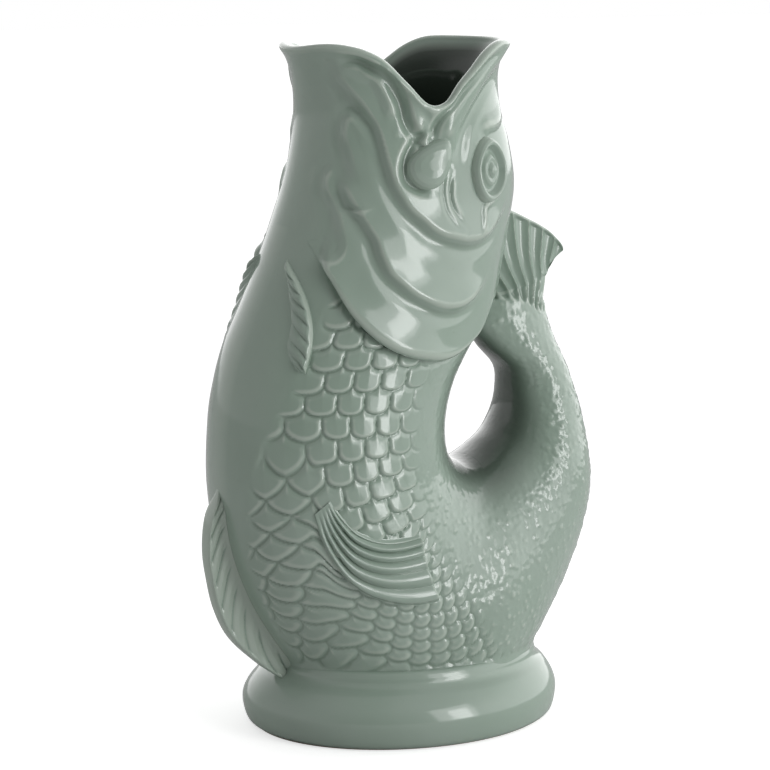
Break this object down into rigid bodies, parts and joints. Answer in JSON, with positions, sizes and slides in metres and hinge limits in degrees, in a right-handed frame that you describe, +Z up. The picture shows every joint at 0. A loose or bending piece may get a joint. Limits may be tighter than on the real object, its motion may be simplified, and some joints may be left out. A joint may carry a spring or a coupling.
{
  "type": "gurgle jug",
  "caption": "Glazed earthenware jug shaped as a standing fish: its open jaws are the mouth and spout, its curled hollow tail is the handle, and it stands on an oval foot.",
  "frame": {"origin": "centre of the foot's underside, on the plane that the jug stands on", "axes": "+Z up towards the mouth, -X towards the fish's belly and the pouring lip, +X towards the tail handle, Y across the fish, alike on both sides"},
  "size_m": [0.1588, 0.103, 0.25],
  "materials": {
    "glaze": "glossy celadon green glaze"
  },
  "bodies": {
    "root": {"foot": "glaze", "body": "glaze", "head": "glaze", "tail_handle": "glaze", "tail_fin": "glaze", "belly_fin": "glaze", "pectoral_fin_left": "glaze", "pectoral_fin_right": "glaze", "pelvic_fin_left": "glaze", "pelvic_fin_right": "glaze", "eye_left": "glaze", "eye_right": "glaze", "mouth_corner_left": "glaze", "mouth_corner_right": "glaze"}
  },
  "joints": []
}
